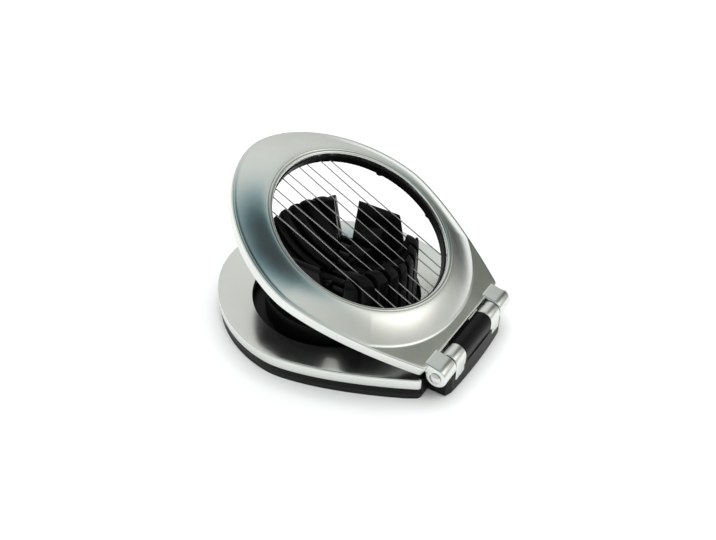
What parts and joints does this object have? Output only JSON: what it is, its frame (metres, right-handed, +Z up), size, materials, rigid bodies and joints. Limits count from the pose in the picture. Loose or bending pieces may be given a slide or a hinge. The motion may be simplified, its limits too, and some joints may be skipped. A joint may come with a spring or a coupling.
{
  "type": "egg slicer",
  "caption": "Wire egg slicer with a hinged satin metal lid strung with cutting wire over a slotted black cradle on a metal base plate and a black footed tray.",
  "frame": {"origin": "middle of the footprint on the resting surface, at the bottom centre of the bounding box", "axes": "+Z up, +X toward the hinge at the rear, +Y along the hinge pin toward its capped end"},
  "size_m": [0.1108, 0.0926, 0.0616],
  "materials": {
    "satin_casting": "fine satin brushed, bright rounded edges",
    "black_moulding": "smooth moulded, slight sheen",
    "black_washer": "plain",
    "black_rubber": "matt",
    "wire_steel": "drawn bright",
    "bright_steel": "bright plated"
  },
  "bodies": {
    "base": {"base_plate": "satin_casting", "base_tray": "black_moulding", "foot_ring": "black_rubber", "egg_cradle": "black_moulding", "cradle_screws": "bright_steel", "plate_screws": "bright_steel", "hinge_pin": "bright_steel", "pin_cap": "bright_steel", "hinge_washers": "black_washer"},
    "lid": {"lid_frame": "satin_casting", "wire_carrier": "black_moulding", "wire_clamp_ring": "black_moulding", "cutting_wire": "wire_steel", "wire_end_sleeves": "wire_steel", "carrier_screws": "bright_steel"}
  },
  "joints": [
    {"name": "lid_hinge", "type": "hinge", "parent": "base", "child": "lid", "pos_m": [0.0512, 0, 0.01125], "axis": [0, 1, 0], "range_deg": [-27.1, 77.9]}
  ]
}
